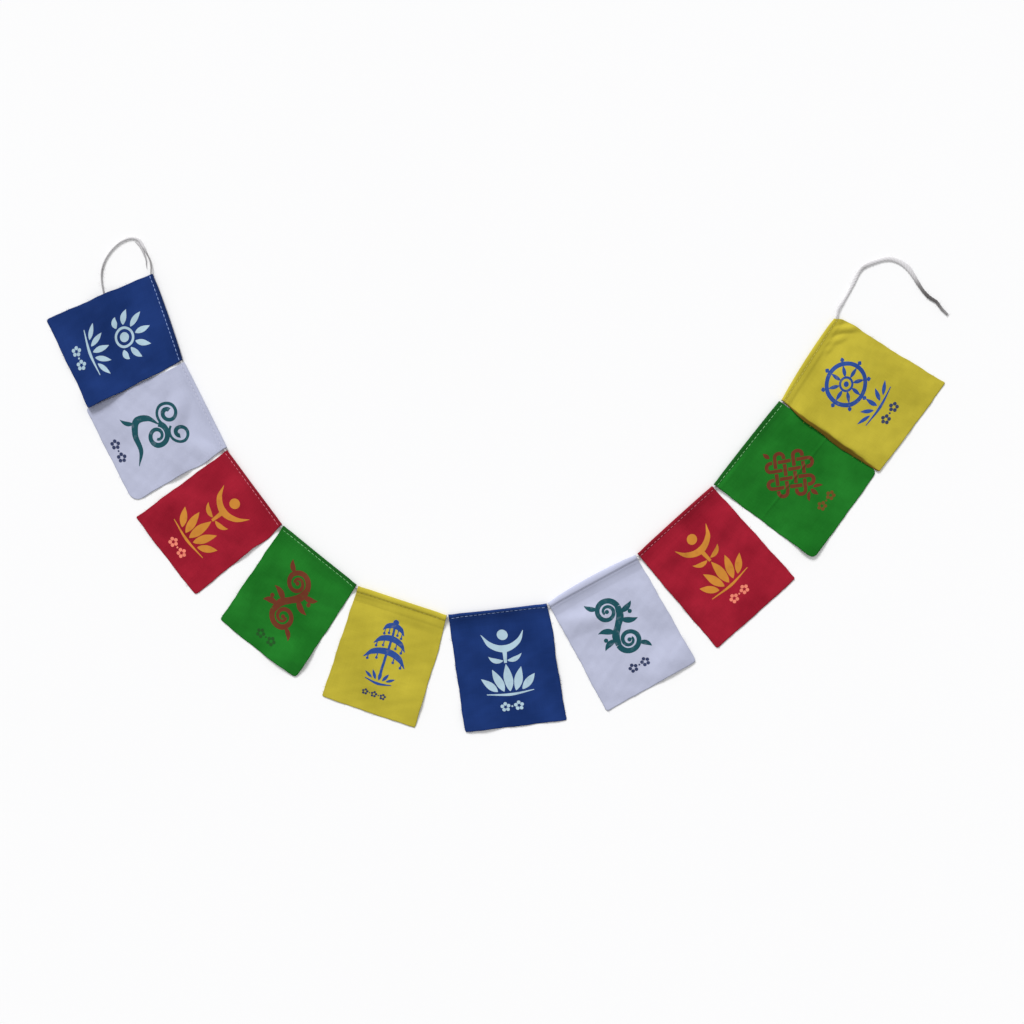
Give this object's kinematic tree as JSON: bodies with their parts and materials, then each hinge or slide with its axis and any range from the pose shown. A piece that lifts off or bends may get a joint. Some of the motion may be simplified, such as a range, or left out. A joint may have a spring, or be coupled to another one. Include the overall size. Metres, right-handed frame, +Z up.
{
  "type": "tibetan prayer flag string",
  "caption": "Row of small coloured cloth flags sewn by their headers onto a thin cotton cord, laid flat in an open arc, with a bare cord tail at each end for tying up.",
  "frame": {"origin": "middle of the flags' outline, on the surface that the string lies on", "axes": "+X along the chord of the arc, from the left tail to the right tail; +Y from the flags' low edges to the cord's tails; +Z up out of the cloth"},
  "size_m": [0.721, 0.3956, 0.0048],
  "materials": {
    "blue_cloth": "matt woven cotton, dyed blue",
    "white_cloth": "matt woven cotton, white",
    "red_cloth": "matt woven cotton, dyed red",
    "green_cloth": "matt woven cotton, dyed green",
    "yellow_cloth": "matt woven cotton, dyed yellow",
    "cord": "soft twisted cotton cord, undyed"
  },
  "bodies": {
    "root": {"flag_1_blue": "blue_cloth", "flag_2_white": "white_cloth", "flag_3_red": "red_cloth", "flag_4_green": "green_cloth", "flag_5_yellow": "yellow_cloth", "flag_6_blue": "blue_cloth", "flag_7_white": "white_cloth", "flag_8_red": "red_cloth", "flag_9_green": "green_cloth", "flag_10_yellow": "yellow_cloth", "cord": "cord", "cord_loose_ply": "cord"}
  },
  "joints": []
}
